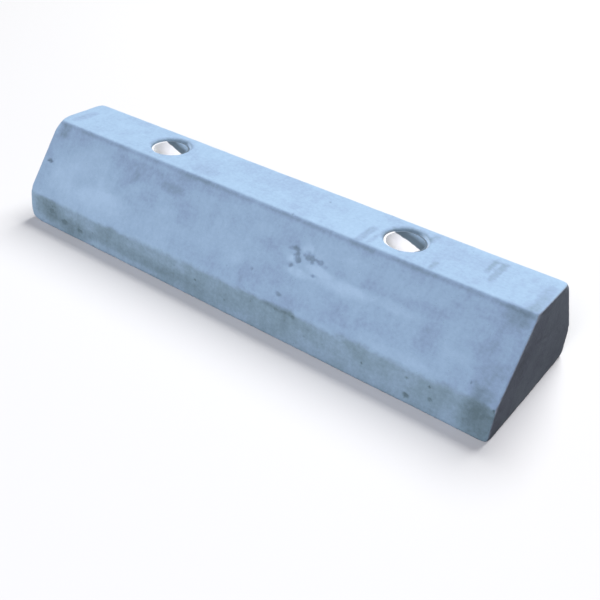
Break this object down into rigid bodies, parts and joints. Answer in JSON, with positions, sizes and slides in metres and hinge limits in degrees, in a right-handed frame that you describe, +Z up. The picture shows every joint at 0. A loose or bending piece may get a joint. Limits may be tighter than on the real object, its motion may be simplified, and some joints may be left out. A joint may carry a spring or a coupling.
{
  "type": "parking wheel stop",
  "caption": "Short precast concrete wheel stop with a sloped front and rear, a flat top and two vertical pipe-lined anchor holes.",
  "frame": {"origin": "middle of the base, on the ground", "axes": "+X along the block's length, +Y to the rear, +Z up. The block is the same front and rear; front is -Y"},
  "size_m": [0.6, 0.1698, 0.112],
  "materials": {
    "concrete": "matte",
    "sleeve_plastic": "matte",
    "bar_steel": "matte",
    "stirrup_steel": "matte",
    "tie_wire": "satin"
  },
  "bodies": {
    "root": {"concrete_body": "concrete", "left_hole_sleeve": "sleeve_plastic", "right_hole_sleeve": "sleeve_plastic", "front_top_bar": "bar_steel", "front_bottom_bar": "bar_steel", "rear_bottom_bar": "bar_steel", "rear_top_bar": "bar_steel", "left_end_stirrup": "stirrup_steel", "left_inner_stirrup": "stirrup_steel", "middle_stirrup": "stirrup_steel", "right_inner_stirrup": "stirrup_steel", "right_end_stirrup": "stirrup_steel", "tie_wires": "tie_wire"}
  },
  "joints": []
}
